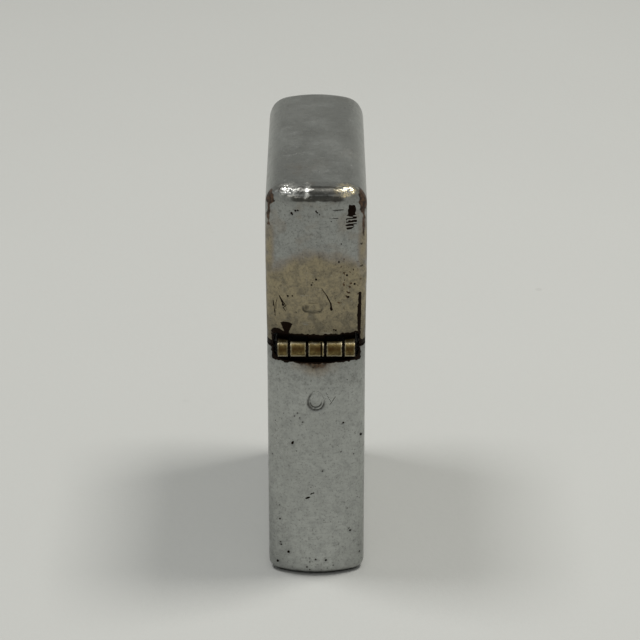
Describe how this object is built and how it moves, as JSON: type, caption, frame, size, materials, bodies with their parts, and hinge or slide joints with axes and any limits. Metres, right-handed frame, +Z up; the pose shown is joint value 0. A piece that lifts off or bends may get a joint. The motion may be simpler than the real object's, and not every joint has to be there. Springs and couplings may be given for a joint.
{
  "type": "pocket lighter",
  "caption": "Slim metal pocket lighter with a hinged flip lid, striker wheel, vented chimney, wick, spring-fed flint and packed fuel tank.",
  "frame": {"origin": "centre of the case in plan, on the flat base it stands on", "axes": "+Z up along the height, +X along the width away from the hinge, +Y through the thickness; the hinge knuckles are at -X"},
  "size_m": [0.0388, 0.013, 0.057],
  "materials": {
    "worn_plate": "dull, worn plating with pits, brown spots and a brassy patina",
    "hinge_brass": "dirty brass, bright on the rubbed crowns",
    "unit_steel": "brushed, sooty near the wick",
    "wheel_steel": "dark, hardened, cross-cut teeth",
    "cam_steel": "satin",
    "rivet_steel": "satin",
    "spring_steel": "drawn wire and strip",
    "tube_brass": "turned, slightly tarnished",
    "flint_alloy": "matte, gritty",
    "wick_cotton": "woven, charred at the top",
    "packing_fibre": "loose fibre",
    "felt": "pressed felt"
  },
  "bodies": {
    "base": {"bottom_case": "worn_plate", "bottom_hinge_leaf": "hinge_brass", "hinge_pin": "rivet_steel", "tank_shell": "unit_steel", "tank_deck": "unit_steel", "felt_pad": "felt", "chimney": "unit_steel", "wheel_rivet": "rivet_steel", "cam_rivet": "rivet_steel", "cam_spring": "spring_steel", "cam_spring_rivet": "rivet_steel", "flint_tube": "tube_brass", "flint_screw": "tube_brass", "flint_spring": "spring_steel", "wick": "wick_cotton", "rayon_ball_1": "packing_fibre", "rayon_ball_2": "packing_fibre", "rayon_ball_3": "packing_fibre", "rayon_ball_4": "packing_fibre", "rayon_ball_5": "packing_fibre", "rayon_ball_6": "packing_fibre", "rayon_ball_7": "packing_fibre"},
    "lid": {"lid_case": "worn_plate", "lid_hinge_leaf": "hinge_brass"},
    "striker": {"striker_wheel": "wheel_steel"},
    "cam": {"lid_cam": "cam_steel"},
    "flint_feed": {"flint": "flint_alloy", "flint_pusher": "tube_brass"}
  },
  "joints": [
    {"name": "lid_hinge", "type": "hinge", "parent": "base", "child": "lid", "pos_m": [-0.0188, 0, 0.0343], "axis": [0, -1, 0], "range_deg": [0, 150]},
    {"name": "striker_spin", "type": "hinge", "parent": "base", "child": "striker", "pos_m": [-0.007, 0, 0.0457], "axis": [0, 1, 0], "continuous": true},
    {"name": "cam_pivot", "type": "hinge", "parent": "base", "child": "cam", "pos_m": [-0.0123, 0, 0.0402], "axis": [0, 1, 0], "range_deg": [0, 40], "deforming": ["cam_spring"]},
    {"name": "flint_slide", "type": "slide", "parent": "base", "child": "flint_feed", "axis": [0, 0, 1], "range_m": [-0.001, 0], "stiffness_N_per_m": 300, "springref_m": 0.002, "deforming": ["flint_spring"]}
  ],
  "couplings": [
    {"joint": "cam_pivot", "follows": "lid_hinge", "ratio": 0.2666}
  ]
}
